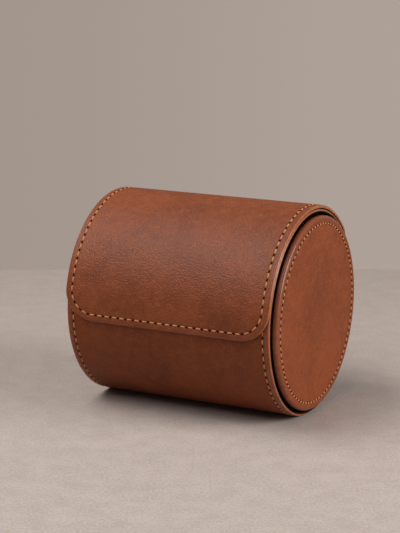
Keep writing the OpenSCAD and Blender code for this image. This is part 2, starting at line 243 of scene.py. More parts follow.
# ---- Studio light ----
# The key softbox stands at the right and a little behind, and rakes the disc and the
# edges. Two more, high at the left and in front, give the flap its soft sheen.
def softbox(name, where, width, height, power, tint=(1, 1, 1)):
    """A rectangular light, in metres and watts, that faces the case."""
    bpy.ops.object.light_add(type="AREA", location=where)
    lamp = bpy.context.object
    lamp.name = name
    lamp.data.shape = "RECTANGLE"
    lamp.data.size = width
    lamp.data.size_y = height
    lamp.data.energy = power
    lamp.data.color = tint
    aim_at = Vector((0, 0, axis_z)) - lamp.location
    lamp.rotation_mode = "QUATERNION"
    lamp.rotation_quaternion = aim_at.to_track_quat("-Z", "Y")


softbox("key_softbox", (0.88, 0.08, 0.43), width=0.5, height=0.5, power=7.7)
softbox("sheen_softbox", (-0.44, -0.20, 0.92), width=0.6, height=0.6, power=5.7,
        tint=(1, 0.985, 0.965))
softbox("front_softbox", (-0.20, -0.62, 0.84), width=0.8, height=0.6, power=4.4)


# ---- Leather of the barrel ----
# Smooth full-grain cow hide in cognac, wrapped round a board tube, sewn along both
# rims and turned over them. The rims are burnished and their crests painted tan. The
# hide's dye is painted about 15 per cent darker than the flap's, as shade on the
# barrel's lower side, and inside the mouths it is painted near-black as shade.
barrel_r = 39.5 * mm
half_length = 42.4 * mm
rim_round = 0.7 * mm
mouth_turn = 38.8 * mm
window_half = 35.8 * mm
window_front = 16
window_back = 121.5
window_corner = 6 * mm
rim_row = 39.7 * mm
seam_angle = 162
belt_half = 38.3 * mm
seam_weld = 0.004 * mm
bend_step = 1.3 * mm
burnish_from = rim_row + 1.3 * mm
rim_crest = half_length - 0.6 * rim_round
rim_inside = barrel_r - 1.1 * rim_round
# For picking parts of a pattern: a length shorter than any real step, an area in
# square metres larger than any strip along an edge, and how level a top face lies
sliver = 0.01 * mm
broad = 0.001
level = 0.99


def leather(name, mid, deep, worn,
            grain=0.55 * mm, relief=0.26 * mm, shine=0.47, gloss=0.25):
    """Full-grain hide: cloudy dye, a fine pebbled grain with pores, and a soft sheen."""
    hide = Finish(bpy.data.materials.new(name))
    where = hide.place()
    cloud = hide.noise(where, 26 * mm, detail=4, roughness=0.55, warp=0.4)
    mottle = hide.noise(where, 3.2 * mm, detail=5, roughness=0.65)
    pore = hide.noise(where, 0.6 * mm, detail=3, roughness=0.75)
    pebble = hide.node("ShaderNodeTexVoronoi", {"feature": "SMOOTH_F1"},
                       {"Vector": where, "Scale": 1 / grain, "Smoothness": 0.6})
    dye = hide.blend(hide.steps(cloud * 0.7 + mottle * 0.3, 0.34, 0.66), deep, mid)
    dye = hide.blend(hide.steps(mottle * 0.3 + pore * 0.7, 0.51, 0.66) * 0.75, dye, worn)
    dye = hide.blend(hide.steps(mottle * 0.25 + pore * 0.75, 0.48, 0.36) * 0.8, dye, deep)
    height = (1 - pebble) * 0.7 + pore * 0.4 + mottle * 0.5
    grazing = hide.node("ShaderNodeLayerWeight", values={"Blend": 0.5}, output=1)
    polish = shine + (mottle - 0.5) * 0.22 + (pore - 0.5) * 0.12 + grazing * grazing * 0.4
    hide.set(
        Base_Color=dye,
        Roughness=polish,
        Normal=hide.bump(height, relief, 0.9),
        Specular_IOR_Level=gloss,
    )
    return hide.block


def edge_paint(name, colour, dark, gloss=0.5):
    """Painted leather edge, burnished smooth, with a little wear; or painted shade."""
    paint = Finish(bpy.data.materials.new(name))
    where = paint.place()
    wear = paint.noise(where, 2.2 * mm, detail=5, roughness=0.6)
    paint.set(
        Base_Color=paint.blend(paint.steps(wear, 0.35, 0.7), colour, dark),
        Roughness=0.26 + wear * 0.18,
        Normal=paint.bump(wear, 0.05 * mm, 0.5),
        Specular_IOR_Level=gloss,
    )
    return paint.block


def pick(kind, test):
    """Selects, in edit mode, the vertices, edges or faces whose middle passes a test."""
    bpy.ops.mesh.select_mode(type=kind)
    bpy.ops.mesh.select_all(action="DESELECT")
    mesh = bmesh.from_edit_mesh(bpy.context.object.data)
    items = {"VERT": mesh.verts, "EDGE": mesh.edges, "FACE": mesh.faces}[kind]
    for item in items:
        corners = [item] if kind == "VERT" else item.verts
        middle = sum((v.co for v in corners), Vector()) / len(corners)
        item.select_set(bool(test(middle, item)))
    mesh.select_flush_mode()
    bmesh.update_edit_mesh(bpy.context.object.data)


def cut_across(first, last):
    """Cuts a flat pattern across, so that it can bend smoothly round the barrel."""
    count = math.ceil((last - first) / bend_step)
    for i in range(1, count):
        cut = first + (last - first) * i / count
        bpy.ops.mesh.select_all(action="SELECT")
        bpy.ops.mesh.bisect(plane_co=(0, cut, 0), plane_no=(0, 1, 0))


def pull(steps, side):
    """Extrudes the selected edges outwards along X, through points of (x, height)."""
    for (x0, h0), (x1, h1) in zip(steps, steps[1:]):
        bpy.ops.mesh.extrude_edges_move(
            TRANSFORM_OT_translate={"value": (side * (x1 - x0), 0, h1 - h0)})


def wrap(piece, reference, radius_at):
    """Bends a flat pattern round the barrel's axis: Y becomes the angle, Z the height."""
    for vertex in piece.data.vertices:
        x, run, height = vertex.co
        angle = run / reference
        radius = radius_at(math.degrees(angle), height)
        z = axis_z + math.sin(angle) * radius
        vertex.co = (x, -math.cos(angle) * radius, max(z, 0))


def rounded(centre_x, centre_h, radius, first, last, count):
    """Points of (x, height) on an arc, from one angle to another."""
    turns = [math.radians(first + (last - first) * i / count) for i in range(count + 1)]
    return [(centre_x + radius * math.cos(t), centre_h + radius * math.sin(t)) for t in turns]


def finish_piece(smooth=40):
    """Leaves edit mode, makes the faces point outwards and shades them smooth."""
    bpy.ops.mesh.select_all(action="SELECT")
    bpy.ops.mesh.normals_make_consistent(inside=False)
    bpy.ops.object.editmode_toggle()
    bpy.ops.object.shade_smooth_by_angle(angle=math.radians(smooth))


def paint_faces(piece, material, test):
    """Gives a second material to the faces whose middle passes a test."""
    piece.data.materials.append(material)
    slot = len(piece.data.materials) - 1
    for face in piece.data.polygons:
        if test(face.center):
            face.material_index = slot


# The cognac dye, painted about 15 per cent darker as shade on the barrel's lower side
shaded_barrel_hide = leather("cognac_leather", mid=(0.205, 0.045, 0.0088),
                      deep=(0.137, 0.027, 0.0050), worn=(0.282, 0.073, 0.018))
burnished = edge_paint("burnished_edge", (0.235, 0.055, 0.0125), (0.165, 0.034, 0.008))
tan_edge = edge_paint("tan_edge_paint", (0.38, 0.122, 0.037), (0.27, 0.075, 0.021))
# Near-black painted shade for the mouths, where the gap round each disc lies in shade
mouth_painted_shade = edge_paint("painted_mouth_shade", (0.014, 0.006, 0.004), (0.008, 0.004, 0.003),
                         gloss=0.08)

# The flat pattern is a belt with the window cut in it, opened at the seam behind
run_front = math.radians(window_front) * barrel_r
run_back = math.radians(window_back) * barrel_r
run_seam = math.radians(seam_angle) * barrel_r
run_start = run_seam - 2 * math.pi * barrel_r

bpy.ops.object.select_all(action="DESELECT")
bpy.ops.mesh.primitive_plane_add(size=1, enter_editmode=True)
barrel_skin = bpy.context.object
barrel_skin.name = "barrel_skin"
bpy.ops.transform.resize(value=(2 * window_half, run_back - run_front, 1))
bpy.ops.transform.translate(value=(0, (run_back + run_front) / 2, 0))
bpy.ops.mesh.bevel(offset=window_corner, segments=10, affect="VERTICES", profile=0.5)
bpy.ops.mesh.delete(type="ONLY_FACE")
bpy.ops.mesh.primitive_plane_add(size=1)
bpy.ops.transform.resize(value=(2 * belt_half, run_seam - run_start, 1))
bpy.ops.transform.translate(value=(0, (run_seam + run_start) / 2, 0))
bpy.ops.mesh.delete(type="ONLY_FACE")
bpy.ops.mesh.select_all(action="SELECT")
bpy.ops.mesh.fill(use_beauty=False)
# From the belt outwards: the bed pressed by the stitches, the rim's turn, the mouth
stitch_bed = [(-1.4, 0), (-0.85, 0), (-0.45, -0.07), (-0.2, -0.17), (0.2, -0.17),
              (0.45, -0.07), (0.85, 0)]
stitch_bed = [(rim_row + x * mm, h * mm) for x, h in stitch_bed]
rim_turn = rounded(half_length - rim_round, -rim_round, rim_round, 90, -90, 12)
rim_profile = stitch_bed + rim_turn + [(mouth_turn, -2 * rim_round)]
for side in (-1, 1):
    pick("EDGE", lambda middle, edge: side * middle.x > belt_half - sliver)
    pull(rim_profile, side)
cut_across(run_start, run_seam)
bpy.ops.object.editmode_toggle()
wrap(barrel_skin, barrel_r, lambda angle, height: barrel_r + height)
bpy.ops.object.editmode_toggle()
bpy.ops.mesh.select_all(action="SELECT")
bpy.ops.mesh.remove_doubles(threshold=seam_weld)
finish_piece()
barrel_skin.data.materials.append(shaded_barrel_hide)
paint_faces(barrel_skin, burnished, lambda middle: abs(middle.x) > burnish_from)
paint_faces(barrel_skin, tan_edge, lambda middle: abs(middle.x) > rim_crest)
# Inside the mouths the hide is painted near-black as shade
paint_faces(barrel_skin, mouth_painted_shade, lambda middle: abs(middle.x) > rim_row
            and math.hypot(middle.y, middle.z - axis_z) < rim_inside)
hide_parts("barrel_leather_wrap")
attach(barrel_skin, "barrel")


# ---- Flap ----
# One piece of the cognac hide over a thin stiffener, paler than the barrel's, whose dye
# carries painted shade. Its edge is pressed, burnished and painted. Its tab, glued and
# sewn down the barrel's back, is the hinge.
flap_r = 41.0 * mm
flap_under = 39.8 * mm
flap_half = 42.5 * mm
flap_thickness = 1.2 * mm
flap_round = 0.8 * mm
flap_under_round = 0.35 * mm
burnished_band = 1.1 * flap_round
painted_band = 0.3 * mm
painted_height = 0.75 * flap_thickness
flap_lip = -3.9
flap_hinge = 143
flap_corner = 12 * mm
flap_row_inset = 2.8 * mm
# Widths and drops, in mm, of the bed that the stitches press into the border
flap_bed = ((1.0, 0.02), (0.45, -0.03), (0.30, -0.13), (0.50, 0.0), (0.30, 0.13),
            (0.45, 0.05))
lining_border = 1.65 * mm
lining_recess = 0.62 * mm
recess_wall = 0.02 * mm
tab_end = 172
tab_half = 41.5 * mm
tab_leather = 0.9 * mm
tab_corner = 5 * mm
neck = 9 * mm
border_start = 40.8 * mm
# In degrees: where the leather starts down to the barrel, over how much, and how far
# to either side of the hinge it bends when the flap turns
settle_lead = 1.5
settle_span = 5

run_lip = math.radians(flap_lip) * flap_r
run_hinge = math.radians(flap_hinge) * flap_r
run_tab = math.radians(tab_end) * flap_r
corner_x = flap_half - flap_corner
corner_run = run_lip + flap_corner

bpy.ops.object.select_all(action="DESELECT")
bpy.ops.mesh.primitive_plane_add(size=1, enter_editmode=True)
flap_skin = bpy.context.object
flap_skin.name = "flap_skin"
bpy.ops.transform.resize(value=(2 * flap_half, run_tab - run_lip, 1))
bpy.ops.transform.translate(value=(0, (run_tab + run_lip) / 2, 0))
pick("VERT", lambda middle, vertex: middle.y < run_lip + sliver)
bpy.ops.mesh.bevel(offset=flap_corner, segments=20, affect="VERTICES", profile=0.5)
pick("VERT", lambda middle, vertex: middle.y > run_tab - sliver)
bpy.ops.mesh.bevel(offset=tab_corner, segments=8, affect="VERTICES", profile=0.5)
bpy.ops.mesh.select_all(action="SELECT")
bpy.ops.mesh.extrude_region_move(TRANSFORM_OT_translate={"value": (0, 0, flap_thickness)})
bpy.ops.mesh.select_all(action="SELECT")
bpy.ops.mesh.normals_make_consistent(inside=False)
pick("EDGE", lambda middle, edge: middle.z > flap_thickness - sliver)
bpy.ops.mesh.bevel(offset=flap_round, segments=6, profile=0.5, affect="EDGES")
pick("EDGE", lambda middle, edge: middle.z < sliver)
bpy.ops.mesh.bevel(offset=flap_under_round, segments=3, profile=0.5, affect="EDGES")
pick("FACE", lambda middle, face: face.normal.z > level and face.calc_area() > broad)
for width, drop in flap_bed:
    bpy.ops.mesh.inset(thickness=width * mm, depth=drop * mm, use_even_offset=True)
# The lining lies in a shallow recess, which stops short of the hinge
recess_back = run_hinge - lining_border
bpy.ops.mesh.select_all(action="SELECT")
bpy.ops.mesh.bisect(plane_co=(0, recess_back, 0), plane_no=(0, 1, 0))
pick("FACE", lambda middle, face: face.normal.z < -level and middle.y < recess_back
     and face.calc_area() > broad)
bpy.ops.mesh.inset(thickness=lining_border, use_even_offset=True)
bpy.ops.mesh.inset(thickness=recess_wall, depth=-lining_recess, use_even_offset=True)
cut_across(run_lip, run_tab)
bpy.ops.object.editmode_toggle()


def ease(share):
    """Keeps a share between 0 and 1, with a soft start and end."""
    share = min(max(share, 0), 1)
    return share * share * (3 - 2 * share)


# On the tab the border outside the stitches narrows, so that it clears the rims
for vertex in flap_skin.data.vertices:
    share = ease((vertex.co.y - run_hinge) / neck + 0.5)
    border = abs(vertex.co.x) - border_start
    if border > 0:
        kept = 1 - share * (flap_half - tab_half) / (flap_half - border_start)
        vertex.co.x = math.copysign(border_start + border * kept, vertex.co.x)


def flap_radius(angle, height):
    """Off the barrel on the stiffened flap, and down flat on it from the hinge on."""
    down = ease((angle - flap_hinge + settle_lead) / settle_span)
    under = flap_under + (barrel_r - flap_under) * down
    return under + height * (1 + (tab_leather / flap_thickness - 1) * down)


wrap(flap_skin, flap_r, flap_radius)
bpy.ops.object.editmode_toggle()
finish_piece(smooth=50)
flap_hide = leather("flap_leather", mid=(0.236, 0.053, 0.0115), deep=(0.158, 0.032, 0.0065),
                    worn=(0.325, 0.087, 0.023), gloss=0.34)
for finish in (flap_hide, burnished, tan_edge):
    flap_skin.data.materials.append(finish)


def border_inset(middle):
    """How far a point lies inside the flap's outline. The tab's edges aren't counted."""
    angle = math.atan2(middle.z - axis_z, -middle.y)
    run = angle * flap_r
    across = abs(middle.x)
    if angle > math.radians(flap_hinge + 2):
        return flap_corner
    if across > corner_x and run < corner_run:
        return flap_corner - math.hypot(across - corner_x, corner_run - run)
    return min(flap_half - across, run - run_lip)


for face in flap_skin.data.polygons:
    inset = border_inset(face.center)
    height = math.hypot(face.center.z - axis_z, face.center.y) - flap_under
    if inset < painted_band and height < painted_height:
        face.material_index = 2
    elif inset < burnished_band:
        face.material_index = 1
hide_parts("flap_leather_cover", "hinge_tab")


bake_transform(flap_skin)


# ---- Leather of the two discs ----
# A round of board with hide drawn over it, turned in behind and sewn in a ring near its
# edge. The right one is the tray's front, the left one is glued into its mouth. Both
# have their side walls painted near-black as shade where they stand in the mouths.
disc_r = 37.2 * mm
disc_back = 39.1 * mm
front_face = 44.5 * mm
end_seat = 38.8 * mm
end_face = 42.7 * mm
disc_row_r = 34.2 * mm
disc_round = 1.15 * mm
# Painted shade on the discs' walls: how far past the rim, and how far below the round
shade_past_rim = 0.3 * mm
shade_below_round = 0.1 * mm
# Widths and drops, in mm, of the stitches' bed and of the soft dome inside it
disc_bed = ((0.95, 0.03), (0.40, -0.05), (0.25, -0.12), (0.50, 0.0), (0.25, 0.12),
            (0.45, 0.07), (1.4, 0.06), (2.5, 0.03), (5, 0.01))


def disc_skin(name, side, back, face, node, body):
    """A leather-covered disc, made standing in its mouth and facing outwards."""
    shade_end = min(half_length + shade_past_rim, face - disc_round - shade_below_round)
    bpy.ops.object.select_all(action="DESELECT")
    bpy.ops.mesh.primitive_circle_add(
        vertices=144, radius=disc_r, fill_type="NGON", enter_editmode=True,
        location=(side * back, 0, axis_z), rotation=(0, side * math.pi / 2, 0))
    disc = bpy.context.object
    disc.name = name
    for start, end in ((back, shade_end), (shade_end, face)):
        bpy.ops.mesh.extrude_region_move(
            TRANSFORM_OT_translate={"value": (side * (end - start), 0, 0)})
    bpy.ops.mesh.select_all(action="SELECT")
    bpy.ops.mesh.normals_make_consistent(inside=False)
    pick("EDGE", lambda middle, edge: middle.z > face - back - sliver)
    bpy.ops.mesh.bevel(offset=disc_round, segments=7, profile=0.5, affect="EDGES")
    pick("FACE", lambda middle, item: item.normal.z > level and item.calc_area() > broad)
    for width, drop in disc_bed:
        bpy.ops.mesh.inset(thickness=width * mm, depth=drop * mm)
    finish_piece()
    bpy.ops.object.transform_apply(location=True, rotation=True, scale=True)
    disc.data.materials.append(disc_leather)
    edge_from = disc_r - 1.05 * disc_round
    paint_faces(disc, burnished,
                lambda middle: math.hypot(middle.y, middle.z - axis_z) > edge_from)
    # The wall standing in the mouth is painted near-black as shade
    paint_faces(disc, mouth_painted_shade, lambda middle: side * middle.x < shade_end)
    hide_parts(node)
    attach(disc, body)


disc_leather = leather("disc_leather", mid=(0.246, 0.054, 0.0120),
                       deep=(0.165, 0.033, 0.0070), worn=(0.320, 0.084, 0.023),
                       grain=0.5 * mm, relief=0.24 * mm, shine=0.5)
disc_skin("front_disc_skin", 1, disc_back, front_face, "front_disc_leather", "tray")
disc_skin("end_disc_skin", -1, end_seat, end_face, "end_disc_leather", "barrel")


# ---- Stitches ----
# Waxed tan thread, sewn by machine at a pitch of 3.25 mm, and of 2.5 mm on the discs.
# Each stitch swells between two needle holes, near-black ovals painted as the shade
# where it dives in.
stitch_pitch = 3.25 * mm
stitch_length = 2.45 * mm
disc_pitch = 2.5 * mm
disc_stitch = 1.75 * mm
thread_d = 0.68 * mm
stitch_power = 2.6
stitch_dive = 0.42 * thread_d
hole_size = (1.1 * mm, 0.8 * mm, 0.26 * mm)
hole_sink = 0.03 * mm
# How far the thread stands over the hide, and on the rims, where the flap lies on it
thread_proud = 0.2 * mm
covered_proud = 0.1 * mm

thread = Finish(bpy.data.materials.new("waxed_thread"))
grain = thread.node("ShaderNodeTexCoord", output=2)
ply = thread.node("ShaderNodeTexWave", {"wave_type": "BANDS", "bands_direction": "DIAGONAL"},
                  {"Vector": grain, "Scale": 4.0, "Distortion": 0.4})
fuzz = thread.noise(thread.place(), 0.12 * mm, detail=2)
spot = thread.noise(thread.place(), 7 * mm, detail=2)
lay = thread.steps(ply * 0.7 + fuzz * 0.3, 0.2, 0.8)
tone = thread.blend(lay, (0.40, 0.13, 0.035), (0.74, 0.32, 0.110))
thread.set(
    Base_Color=thread.blend(thread.steps(spot, 0.35, 0.7) * 0.35, tone, (0.50, 0.20, 0.075)),
    Roughness=0.55,
    Normal=thread.bump(ply * 0.7 + fuzz * 0.4, 0.08 * mm, 0.7),
)

# Needle holes painted near-black, as the shade inside them
hole = Finish(bpy.data.materials.new("needle_hole_painted_shade"))
hole_shade_mottle = hole.noise(hole.place(), 0.4 * mm, detail=2)
hole.set(Base_Color=hole.blend(hole_shade_mottle, (0.008, 0.004, 0.003), (0.026, 0.010, 0.006)),
         Roughness=0.9, Specular_IOR_Level=0.1)


def one_stitch(length):
    """A stitch at the origin, along X with its back to +Z, plump in the middle."""
    bpy.ops.object.select_all(action="DESELECT")
    bpy.ops.mesh.primitive_uv_sphere_add(segments=10, ring_count=9, radius=0.5,
                                         rotation=(0, math.pi / 2, 0))
    stitch = bpy.context.object
    bpy.ops.object.transform_apply(rotation=True)
    for vertex in stitch.data.vertices:
        x, y, z = vertex.co
        out = abs(2 * x)
        round_here = max((1 - out ** 2) ** 0.5, 0.05)
        swell = (1 - min(out, 1) ** stitch_power) ** 0.5 / round_here
        sink = -stitch_dive * out ** stitch_power
        vertex.co = (x * length, y * swell * thread_d,
                     z * swell * thread_d + sink - thread_d / 2)
    return stitch


def one_hole():
    """A needle hole at the origin: an oval pit seen from above, painted dark as shade."""
    bpy.ops.object.select_all(action="DESELECT")
    bpy.ops.mesh.primitive_uv_sphere_add(segments=8, ring_count=6, radius=0.5,
                                         enter_editmode=True)
    bpy.ops.transform.resize(value=hole_size)
    bpy.ops.object.editmode_toggle()
    return bpy.context.object


on_axis = Matrix.Translation((0, 0, axis_z))


def seat(x, angle, radius):
    """Stands a copy on the barrel: its Z outwards, its X along the barrel."""
    turn = Matrix.Rotation(math.radians(90 - angle), 4, "X")
    return on_axis @ turn @ Matrix.Translation((x, 0, radius))


def spun(degrees):
    """Turns a copy where it stands, round its own Z."""
    return Matrix.Rotation(math.radians(degrees), 4, "Z")


def row(name, pattern, seats, material, body, node=None):
    """Copies one small shape to every seat, each copy with its own mesh, and joins them."""
    mesh = bmesh.new()
    for place in seats:
        single = pattern.data.copy()
        single.transform(place)
        mesh.from_mesh(single)
        bpy.data.meshes.remove(single)
    made = bpy.data.meshes.new(name)
    mesh.to_mesh(made)
    mesh.free()
    bpy.data.objects.remove(pattern)
    piece = bpy.data.objects.new(name, made)
    bpy.context.scene.collection.objects.link(piece)
    made.materials.append(material)
    for face in made.polygons:
        face.use_smooth = True
    if node:
        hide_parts(node)
    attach(piece, body)


def sew(name, seats, between, proud, body, node, length=stitch_length):
    """A row of stitches standing a little proud, and its needle holes."""
    lift = Matrix.Translation((0, 0, proud))
    sink = Matrix.Translation((0, 0, -hole_sink))
    stitches = [place @ lift for place in seats]
    holes = [place @ sink for place in between]
    row(name, one_stitch(length), stitches, thread.block, body, node)
    row(name + "_holes", one_hole(), holes, hole.block, body)


def arc(length, radius):
    """The angle in degrees that a length takes up round a radius."""
    return math.degrees(length / radius)


def spread(first, last, count):
    """Evenly spaced values from first to last, with both ends."""
    return [first + (last - first) * i / count for i in range(count + 1)]


def halfway(values):
    """The middles between neighbouring values."""
    return [(a + b) / 2 for a, b in zip(values, values[1:])]


# The flap's stitches go up both sides, round the corners and along the lip. They stop
# before the turned edge at the hinge
hinge_r = 40.4 * mm
turned_edge = 2 * mm
side_margin = 1.15 * mm
turn_r = flap_corner - flap_row_inset
row_edge = flap_lip + arc(flap_row_inset, flap_r)
side_x = flap_half - flap_row_inset
side_first = row_edge + math.degrees(math.asin(turn_r / flap_r))
side_last = flap_hinge - arc(turned_edge, hinge_r) - arc(side_margin, flap_r)
side_count = math.floor(math.radians(side_last - side_first) * flap_r / stitch_pitch)
turn_count = round(turn_r * math.pi / 2 / stitch_pitch)
lip_count = round(2 * corner_x / stitch_pitch)


def corner_seat(side, turn):
    """A seat in the flap's corner, from its side (0 degrees) to its lip (90)."""
    rise = turn_r - turn_r * math.sin(math.radians(turn))
    x = side * (corner_x + turn_r * math.cos(math.radians(turn)))
    angle = row_edge + math.degrees(math.asin(rise / flap_r))
    return seat(x, angle, flap_r) @ spun(side * (90 - turn))


flap_seats = []
flap_holes = []
for side in (-1, 1):
    ups = spread(side_first, side_last, side_count)
    turns = spread(0, 90, turn_count)
    flap_seats += [seat(side * side_x, angle, flap_r) @ spun(90) for angle in ups]
    flap_holes += [seat(side * side_x, angle, flap_r) @ spun(90) for angle in halfway(ups)]
    flap_seats += [corner_seat(side, turn) for turn in turns[1:-1]]
    flap_holes += [corner_seat(side, turn) for turn in halfway(turns)]
lip_xs = spread(-corner_x, corner_x, lip_count)
flap_seats += [seat(x, row_edge, flap_r) for x in lip_xs]
flap_holes += [seat(x, row_edge, flap_r) for x in halfway(lip_xs)]
sew("flap_stitches", flap_seats, flap_holes, thread_proud, "flap", "flap_thread")

# Both rims are sewn all round, apart from under the tab and where the case stands. The
# needle holes go on for hole_lead degrees more under the foot
foot_angle = 270
rim_margin = 2.3 * mm
foot_margin = 1.4 * mm
hole_lead = 2
bed_drop = 0.15 * mm
rim_first = tab_end + arc(rim_margin, barrel_r)
rim_last = 360 + flap_hinge - arc(rim_margin, barrel_r)
rim_count = math.floor((rim_last - rim_first) / arc(stitch_pitch, barrel_r))
foot_half = math.degrees(math.acos(axis_z / (barrel_r + covered_proud)))
foot_reach = foot_half + arc(foot_margin, barrel_r)
rim_angles = spread(rim_first, rim_last, rim_count)
for side, word in ((-1, "left"), (1, "right")):
    shown = [a for a in rim_angles if abs(a - foot_angle) > foot_reach]
    gaps = [a for a in halfway(rim_angles) if abs(a - foot_angle) > foot_reach - hole_lead]
    sew(word + "_rim_stitches",
        [seat(side * rim_row, angle, barrel_r) @ spun(90) for angle in shown],
        [seat(side * rim_row, angle, barrel_r - bed_drop) @ spun(90) for angle in gaps],
        covered_proud, "barrel", word + "_rim_thread")

# The tab is sewn down along its sides and its lower edge
tab_r = barrel_r + tab_leather
hinge_gap = 0.87 * mm
tab_margin = 1.6 * mm
tab_row = tab_end - arc(flap_row_inset, barrel_r)
tab_first = flap_hinge + arc(hinge_gap, hinge_r) + arc(tab_margin, barrel_r)
tab_last = tab_row - arc(stitch_pitch * 0.8, barrel_r)
tab_count = math.floor((tab_last - tab_first) / arc(stitch_pitch, barrel_r))
tab_angles = spread(tab_first, tab_last, tab_count)
tab_row_half = rim_row - stitch_pitch * 0.5
tab_xs = spread(-tab_row_half, tab_row_half, math.floor(2 * tab_row_half / stitch_pitch))


def tab_seats(angles, xs):
    """Seats up both sides of the tab and along its lower edge."""
    sides = [seat(side * rim_row, angle, tab_r) @ spun(90)
             for side in (-1, 1) for angle in angles]
    return sides + [seat(x, tab_row, tab_r) for x in xs]


sew("tab_stitches", tab_seats(tab_angles, tab_xs),
    tab_seats(halfway(tab_angles), halfway(tab_xs)),
    thread_proud, "barrel", "hinge_tab_thread")

# A ring of slanted stitches holds each disc's hide to its board
disc_slant = 12
ring_count = math.floor(2 * math.pi * disc_row_r / disc_pitch)


def ring_seat(side, face, turn):
    """A seat in the ring on a disc's face, slanted to the ring."""
    middle = Matrix.Translation((side * face, 0, axis_z))
    outwards = Matrix.Rotation(side * math.pi / 2, 4, "Y")
    reach = Matrix.Translation((disc_row_r, 0, 0))
    return middle @ outwards @ spun(turn) @ reach @ spun(90 + disc_slant)


for side, face, body, name in ((1, front_face, "tray", "front_disc"),
                               (-1, end_face, "barrel", "end_disc")):
    turns = [360 / ring_count * i for i in range(ring_count)]
    sew(name + "_stitches",
        [ring_seat(side, face, turn) for turn in turns],
        [ring_seat(side, face, turn + 180 / ring_count) for turn in turns],
        thread_proud, body, name + "_thread", disc_stitch)


# ---- Suede linings ----
# Warm grey microsuede, glued inside the tube, the flap and the tray. Its nap lies in
# soft patches and its fibres catch the light at the edges.
def suede_finish(name, light, dark):
    """Microsuede: patches of nap, fine fibres and a faint sheen."""
    suede = Finish(bpy.data.materials.new(name))
    where = suede.place()
    nap = suede.noise(where, 6 * mm, detail=4, roughness=0.6, warp=0.8)
    fibre = suede.noise(where, 0.28 * mm, detail=3, roughness=0.7)
    tone = suede.steps(nap * 0.6 + fibre * 0.4, 0.32, 0.68)
    suede.set(
        Base_Color=suede.blend(tone, dark, light),
        Roughness=0.92,
        Sheen_Weight=0.35,
        Sheen_Roughness=0.45,
        Specular_IOR_Level=0.2,
        Normal=suede.bump(fibre * 0.7 + nap * 0.6, 0.12 * mm, 0.8),
    )
    return suede.block


def dress(material, *names):
    """Gives a CAD node's object a new material in every slot."""
    for name in names:
        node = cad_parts[name]
        node.data.materials.clear()
        node.data.materials.append(material)


lining = suede_finish("warm_grey_suede", (0.40, 0.325, 0.255), (0.29, 0.225, 0.17))
dress(lining, "barrel_lining", "flap_suede_lining", "tray_trough_lining", "tray_back_lining",
      "tray_front_lining", "end_disc_lining")


# ---- Boards ----
# Grey bookbinding board, with pressed fibres and paler flecks, shapes the tube, the tray,
# the discs and the flap. In the mouths it is painted dark as shade, so the gaps stay black.
board_dark = (0.25, 0.215, 0.175)
board_pale = (0.37, 0.325, 0.265)
# Painted shade in the mouths: its colour, and the span along X over which it sets in
board_painted_shade = (0.012, 0.007, 0.005)
mouth_shade_span = (38.4 * mm, 38.6 * mm)

board = Finish(bpy.data.materials.new("grey_board"))
where = board.place()
pulp = board.noise(where, 0.9 * mm, detail=5, roughness=0.7)
patch = board.noise(where, 9 * mm, detail=3)
tone = board.steps(pulp * 0.6 + patch * 0.4, 0.3, 0.7)
fibres = board.blend(tone, board_dark, board_pale)
along = board.node("ShaderNodeSeparateXYZ", values={"Vector": where})
along = board.node("ShaderNodeMath", {"operation": "ABSOLUTE"}, {0: along})
# The board's ends in the mouths are painted near-black as shade
shade_in_mouth = board.steps(along, *mouth_shade_span)
board.set(
    Base_Color=board.blend(shade_in_mouth, fibres, board_painted_shade),
    Roughness=0.85,
    Normal=board.bump(pulp, 0.12 * mm, 0.7),
)
dress(board.block, "barrel_board_tube", "end_disc_board", "flap_stiffener", "tray_trough",
      "tray_back_panel", "front_disc_board", "tray_front_panel")


# ---- Window binding ----
# A thin strip of darker, skived leather folded over the cut edge of the window, so
# that no board shows when the flap is open.
binding = leather("binding_leather", mid=(0.115, 0.036, 0.016), deep=(0.08, 0.024, 0.011),
                  worn=(0.15, 0.055, 0.027), grain=0.4 * mm, relief=0.025 * mm, shine=0.5)
dress(binding, "window_binding")


# ---- Closure ----
# Two nickel-plated magnets let into the tube's front and two thin steel plates in the
# flap, all covered, so nothing of the closure shows from outside.
steel = Finish(bpy.data.materials.new("nickel_plate"))
brushed = steel.noise(steel.place(), 0.5 * mm, detail=4, roughness=0.7)
steel.set(
    Base_Color=steel.blend(brushed, (0.50, 0.50, 0.52), (0.66, 0.66, 0.67)),
    Metallic=1.0,
    Roughness=0.24 + brushed * 0.2,
    Normal=steel.bump(brushed, 0.01 * mm, 0.4),
)
dress(steel.block, "closure_magnets", "flap_strike_plates")


# ---- Watch pillow ----
# A soft block of foam in a sewn suede cover, which the watch's strap buckles round.
# Its underside takes the shape of the trough, and the cover puckers at its end seams.
pillow_back = -35.05 * mm
pillow_front = 36.15 * mm
pillow_width = 54 * mm
pillow_top = 49.5 * mm
trough_seat = 34.4 * mm
pillow_slack = 1.6 * mm
cover_gap = 0.05 * mm
# The section's squareness (2 is round), the share of the length in which the ends draw
# in, and how much narrower they get
squareness = 2.7
end_share = 0.28
end_draw = 0.2
# How the cover swells: its mesh, the band held at each seam, the pressure, the time in
# frames and the most that any point moves
mesh_step = 2.6 * mm
held_band = 1.4 * mm
cover_pressure = 4
swell_frames = 20
swell_most = 5 * mm
# The seams' place from the ends, how deep and wide they pull in, and their puckers
seam_in = 4.2 * mm
seam_depth = 1.1 * mm
seam_width = 1.5 * mm
pucker_depth = 0.45 * mm
pucker_reach = 4.5 * mm
pucker_count = 22
welt_d = 1.5 * mm

